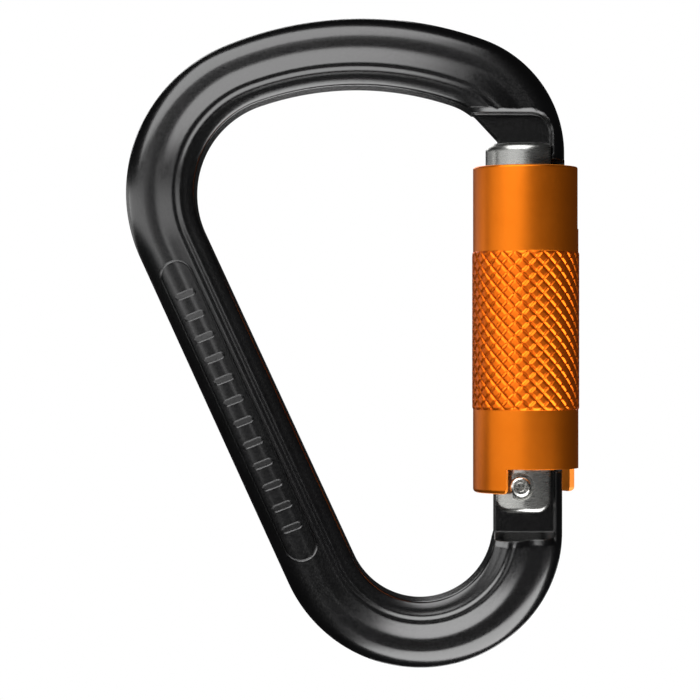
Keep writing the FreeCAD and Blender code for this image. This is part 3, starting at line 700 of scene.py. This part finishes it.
def ramp(nodes, links, source, low, high):
    """Spreads a 0-1 texture between two numbers or two colours."""
    spread = nodes.new("ShaderNodeValToRGB")
    first, last = spread.color_ramp.elements
    first.position, last.position = 0.3, 0.7
    for stop, level in ((first, low), (last, high)):
        stop.color = (*level, 1) if isinstance(level, tuple) else (level, level, level, 1)
    links.new(source, spread.inputs["Fac"])
    return spread.outputs["Color"]


def bump(nodes, links, shader, source, depth, edge):
    """Fine relief, over normals that round every sharp edge by a small radius."""
    relief = nodes.new("ShaderNodeBump")
    relief.inputs["Distance"].default_value = depth
    rounding = nodes.new("ShaderNodeBevel")
    rounding.samples = 6
    rounding.inputs["Radius"].default_value = edge * MM
    links.new(rounding.outputs["Normal"], relief.inputs["Normal"])
    links.new(source, relief.inputs["Height"])
    links.new(relief.outputs["Normal"], shader.inputs["Normal"])


def finish(name, low, high, rough, scale, depth, stretch=(1, 1, 1), metallic=1.0, ior=1.5, edge=0.1):
    """A material whose colour varies with a soft cloud, and its roughness and relief with a fine grain."""
    material, nodes, links, shader = new_material(name)
    shader.inputs["Metallic"].default_value = metallic
    shader.inputs["IOR"].default_value = ior
    grain = mapped_noise(nodes, links, scale, GRAIN_DETAIL, stretch)
    cloud = mapped_noise(nodes, links, CLOUD_SCALE)
    links.new(ramp(nodes, links, cloud, low, high), shader.inputs["Base Color"])
    links.new(ramp(nodes, links, grain, rough[0], rough[1]), shader.inputs["Roughness"])
    bump(nodes, links, shader, grain, depth, edge)
    return material


FRAME_BLACK = finish(
    "black_anodised", (0.0008, 0.0008, 0.0009), (0.0018, 0.0018, 0.002), rough=(0.18, 0.25),
    scale=2600.0, depth=0.000002, metallic=0.0, ior=1.7, edge=0.45,
)
GATE_SILVER = finish(
    "machined_aluminium", (0.36, 0.36, 0.35), (0.44, 0.44, 0.42), rough=(0.24, 0.32),
    scale=900.0, depth=0.000002, stretch=(1, 1, 10), edge=0.3,
)
SLEEVE_ORANGE = finish(
    "orange_anodised", (0.73, 0.165, 0.006), (0.77, 0.18, 0.008), rough=(0.35, 0.41),
    scale=1500.0, depth=0.0000015, stretch=(1, 1, 6), metallic=0.95,
)
KNURL_ORANGE = finish(
    "orange_knurled", (0.8, 0.145, 0.006), (0.86, 0.16, 0.008), rough=(0.36, 0.42),
    scale=1500.0, depth=0.0000015, stretch=(1, 1, 6), metallic=0.95,
)
# Duller, more diffuse orange for the inside faces; its colour is brighter than the outside's, and that
# paints the light on the lug's inner wall.
BORE_ORANGE_LIT = finish(
    "orange_bore_painted_light", (0.86, 0.24, 0.012), (0.92, 0.28, 0.018), rough=(0.5, 0.6),
    scale=1500.0, depth=0.000003, stretch=(1, 1, 6), metallic=0.15,
)
RIVET_STEEL = finish(
    "rivet_stainless", (0.55, 0.54, 0.51), (0.66, 0.65, 0.62), rough=(0.2, 0.32),
    scale=1800.0, depth=0.000008,
)
SPRING_STEEL = finish(
    "spring_wire", (0.45, 0.45, 0.45), (0.6, 0.6, 0.59), rough=(0.18, 0.3),
    scale=2400.0, depth=0.000006,
)
BUSH_NYLON = finish(
    "black_nylon", (0.012, 0.012, 0.012), (0.022, 0.022, 0.022), rough=(0.45, 0.6),
    scale=1600.0, depth=0.00002, metallic=0.0,
)


def dress(made, material):
    made.data.materials.clear()
    made.data.materials.append(material)


def dull_and_lighten_bore(shell, material):
    """Gives the bore and the cut faces, all that doesn't face outwards, a duller finish whose brighter
    orange paints the light on the lug's inner wall.
    """
    shell.data.materials.append(material)
    for face in shell.data.polygons:
        out = Vector((face.center.x - AXIS_X * MM, face.center.y, 0)).normalized()
        if face.normal.dot(out) < OUTWARD:
            face.material_index = 1


def dress_node(name, material):
    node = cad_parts[name]
    if not node.material_slots:
        node.data.materials.append(material)
    for slot in node.material_slots:
        slot.material = material


# ---------------------------------------------------------------- camera, light and stage

def aim(thing, target):
    way = Vector(target) - thing.location
    thing.rotation_euler = way.to_track_quat("-Z", "Y").to_euler()


def make_camera():
    data = bpy.data.cameras.new("camera")
    data.sensor_width = 36
    data.lens = CAMERA_LENS
    data.clip_start = 0.01
    camera = bpy.data.objects.new("camera", data)
    camera.location = CAMERA_PLACE
    camera.rotation_euler = (math.pi / 2, 0, 0)
    bpy.context.scene.collection.objects.link(camera)
    bpy.context.scene.camera = camera


def softbox(name, direction, off_axis, width, height, power):
    """A rectangular light at a side of the camera's view, off_axis degrees away from the camera."""
    side, lean = math.radians(direction), math.radians(off_axis)
    spot = Vector((math.cos(side) * math.sin(lean), -math.cos(lean), math.sin(side) * math.sin(lean)))
    data = bpy.data.lights.new(name, "AREA")
    data.shape = "RECTANGLE"
    data.size = width
    data.size_y = height
    data.energy = power
    lamp = bpy.data.objects.new(name, data)
    lamp.location = spot * LAMP_DISTANCE
    bpy.context.scene.collection.objects.link(lamp)
    aim(lamp, (0, 0, 0))
    lamp.visible_camera = False


def make_world():
    """A dim grey world that the camera itself sees as white."""
    world = bpy.data.worlds.new("studio")
    world.use_nodes = True
    bpy.context.scene.world = world
    sky = world.node_tree
    paths = sky.nodes.new("ShaderNodeLightPath")
    pale = sky.nodes.new("ShaderNodeBackground")
    pale.inputs["Color"].default_value = (1, 1, 1, 1)
    dim = next(n for n in sky.nodes if n.type == "BACKGROUND" and n != pale)
    dim.inputs["Color"].default_value = (WORLD_GREY, WORLD_GREY, WORLD_GREY, 1)
    choose = sky.nodes.new("ShaderNodeMixShader")
    sky.links.new(paths.outputs["Is Camera Ray"], choose.inputs["Fac"])
    sky.links.new(dim.outputs["Background"], choose.inputs[1])
    sky.links.new(pale.outputs["Background"], choose.inputs[2])
    output = next(n for n in sky.nodes if n.type == "OUTPUT_WORLD")
    sky.links.new(choose.outputs["Shader"], output.inputs["Surface"])


def make_floor():
    """A pale, evenly glowing floor that shows in no reflection and throws no light or shadow."""
    place = (0, 0, FLOOR_LEVEL)
    bpy.ops.mesh.primitive_circle_add(vertices=96, radius=FLOOR_RADIUS, fill_type="NGON", location=place)
    floor = bpy.context.object
    floor.name = "floor"
    paint, _, _, shader = new_material("floor_paint")
    shader.inputs["Base Color"].default_value = (0.85, 0.85, 0.85, 1)
    shader.inputs["Roughness"].default_value = 0.7
    shader.inputs["Emission Color"].default_value = (1, 1, 1, 1)
    shader.inputs["Emission Strength"].default_value = 0.94
    floor.data.materials.append(paint)
    floor.visible_glossy = False
    floor.visible_diffuse = False
    floor.visible_shadow = False
    return floor


make_camera()
bpy.context.scene.view_settings.view_transform = "Standard"
for lamp_row in LAMPS:
    softbox(*lamp_row)
make_world()
make_floor()


# ---------------------------------------------------------------- object

forged = make_frame()
dress(forged, FRAME_BLACK)
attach(forged, "frame")
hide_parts("frame")

panel = make_panel()
dress(panel, FRAME_BLACK)
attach(panel, "frame")

shell = make_shell()
band = make_band()
for piece, paint in ((shell, SLEEVE_ORANGE), (band, KNURL_ORANGE)):
    dress(piece, paint)
    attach(piece, "sleeve")
dull_and_lighten_bore(shell, BORE_ORANGE_LIT)
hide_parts("locking_sleeve")

dress_node("gate_barrel", GATE_SILVER)
for name in ("hinge_rivet", "latch_pin", "gate_plunger"):
    dress_node(name, RIVET_STEEL)
for name in ("gate_spring", "twist_spring", "upper_ring", "lower_ring"):
    dress_node(name, SPRING_STEEL)
for name in ("upper_bush", "lower_bush"):
    dress_node(name, BUSH_NYLON)
